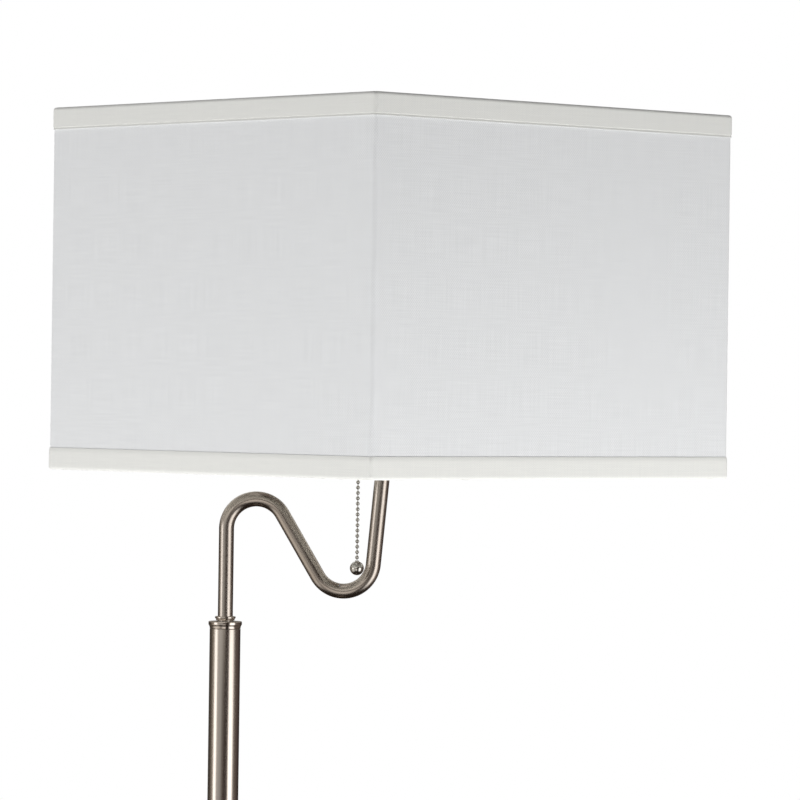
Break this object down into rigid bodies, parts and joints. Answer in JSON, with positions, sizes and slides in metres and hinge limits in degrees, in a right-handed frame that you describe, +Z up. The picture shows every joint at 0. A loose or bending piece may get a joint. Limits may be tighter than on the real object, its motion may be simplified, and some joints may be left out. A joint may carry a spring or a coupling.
{
  "type": "pharmacy floor lamp",
  "caption": "Floor lamp: round weighted base, straight pole, sliding and swivelling S-bent arm, pull-chain socket and a square box shade.",
  "frame": {"origin": "centre of the felt under the round base, on the floor and on the pole's axis", "axes": "+Z up along the pole; +X from the pole towards the shade, so the bent arm lies in the XZ plane; the pictured side faces -Y; the shade stands turned by 45 degrees"},
  "size_m": [0.5707, 0.5708, 1.5],
  "materials": {
    "brushed_nickel": "fine vertical brushing under clear lacquer, warm grey",
    "polished_nickel": "bright plated",
    "zinc_steel": "zinc plated, dull",
    "cast_iron": "rough cast, black",
    "brass": "plain",
    "black_felt": "needle felt",
    "black_rubber": "satin",
    "white_nylon": "satin",
    "black_phenolic": "moulded, satin",
    "fibre_board": "vulcanised fibre paper",
    "white_linen": "plain slubbed weave",
    "white_styrene": "satin sheet",
    "linen_tape": "plain weave tape, glued flat",
    "frosted_glass": "frosted inside"
  },
  "bodies": {
    "stand": {"base_felt": "black_felt", "base_cover": "brushed_nickel", "base_weight": "cast_iron", "cord_grommet": "black_rubber", "base_rod": "zinc_steel", "base_washer": "zinc_steel", "base_nut": "zinc_steel", "pole_foot": "brushed_nickel", "lower_pole": "brushed_nickel", "upper_pole": "brushed_nickel", "foot_plug": "zinc_steel", "lower_joint_plug": "zinc_steel", "upper_joint_plug": "zinc_steel", "joint_rod": "zinc_steel", "pole_cap": "brushed_nickel"},
    "swivel": {"stem_collar": "brushed_nickel", "friction_bush": "white_nylon"},
    "arm": {"arm_tube": "brushed_nickel", "stem_stop": "white_nylon", "arm_rod": "zinc_steel", "check_ring": "brushed_nickel", "harp_saddle": "zinc_steel", "saddle_nut": "zinc_steel", "socket_cap": "brushed_nickel", "socket_shell": "brushed_nickel", "socket_liner": "fibre_board", "switch_body": "black_phenolic", "terminal_screw_live": "brass", "terminal_screw_neutral": "brass", "lever_pin": "zinc_steel", "screw_shell": "brass", "center_contact": "brass", "chain_bell": "brushed_nickel", "harp": "brushed_nickel", "harp_stud": "brushed_nickel", "bulb_contact": "brass", "bulb_cap": "polished_nickel", "bulb_glass": "frosted_glass", "finial_insert": "brass", "finial": "brushed_nickel"},
    "shade": {"shade_linen": "white_linen", "shade_backing": "white_styrene", "tape_top": "linen_tape", "tape_bottom": "linen_tape", "bottom_wire": "polished_nickel", "spider": "polished_nickel"},
    "left_sleeve": {"harp_sleeve_left": "brushed_nickel"},
    "right_sleeve": {"harp_sleeve_right": "brushed_nickel"},
    "lever": {"switch_lever": "zinc_steel"},
    "inside_chain": {"chain_inside": "polished_nickel"},
    "chain_slider": {"chain_top": "polished_nickel"},
    "chain_tip": {"chain_bead": "polished_nickel"},
    "chain_run": {"pull_chain": "polished_nickel", "pull_ball": "polished_nickel"}
  },
  "joints": [
    {"name": "arm_swivel", "type": "hinge", "parent": "stand", "child": "swivel", "pos_m": [0, 0, 1.0632], "axis": [0, 0, 1], "range_deg": [-175, 175]},
    {"name": "height_slide", "type": "slide", "parent": "swivel", "child": "arm", "axis": [0, 0, 1], "range_m": [-0.07, 0.19]},
    {"name": "shade_turn", "type": "hinge", "parent": "arm", "child": "shade", "pos_m": [0.13452, 0, 1.4746], "axis": [0, 0, 1], "continuous": true},
    {"name": "left_sleeve_lift", "type": "slide", "parent": "arm", "child": "left_sleeve", "axis": [0, 0, 1], "range_m": [0, 0.012]},
    {"name": "right_sleeve_lift", "type": "slide", "parent": "arm", "child": "right_sleeve", "axis": [0, 0, 1], "range_m": [0, 0.012]},
    {"name": "chain_pull", "type": "slide", "parent": "arm", "child": "chain_slider", "axis": [0, 0, -1], "range_m": [0, 0.0084], "stiffness_N_per_m": 150, "springref_m": -0.003},
    {"name": "lever_tip", "type": "hinge", "parent": "arm", "child": "lever", "pos_m": [0.13169, -0.00283, 1.2735], "axis": [0.7071, -0.7071, 0], "range_deg": [-1, 51]},
    {"name": "inside_chain_slide", "type": "slide", "parent": "arm", "child": "inside_chain", "axis": [-0.7071, -0.7071, 0], "range_m": [-0.0001, 0.0085]},
    {"name": "chain_swing_out", "type": "hinge", "parent": "chain_slider", "child": "chain_tip", "pos_m": [0.11154, -0.02298, 1.26265], "axis": [-0.7071, 0.7071, 0], "range_deg": [-2, 20]},
    {"name": "chain_swing_aside", "type": "hinge", "parent": "chain_tip", "child": "chain_run", "pos_m": [0.11154, -0.02298, 1.25815], "axis": [-0.7071, -0.7071, 0], "range_deg": [-2, 20]}
  ],
  "couplings": [
    {"joint": "lever_tip", "follows": "chain_pull", "rad_per_m": 103.89},
    {"joint": "inside_chain_slide", "follows": "chain_pull", "ratio": 1}
  ]
}
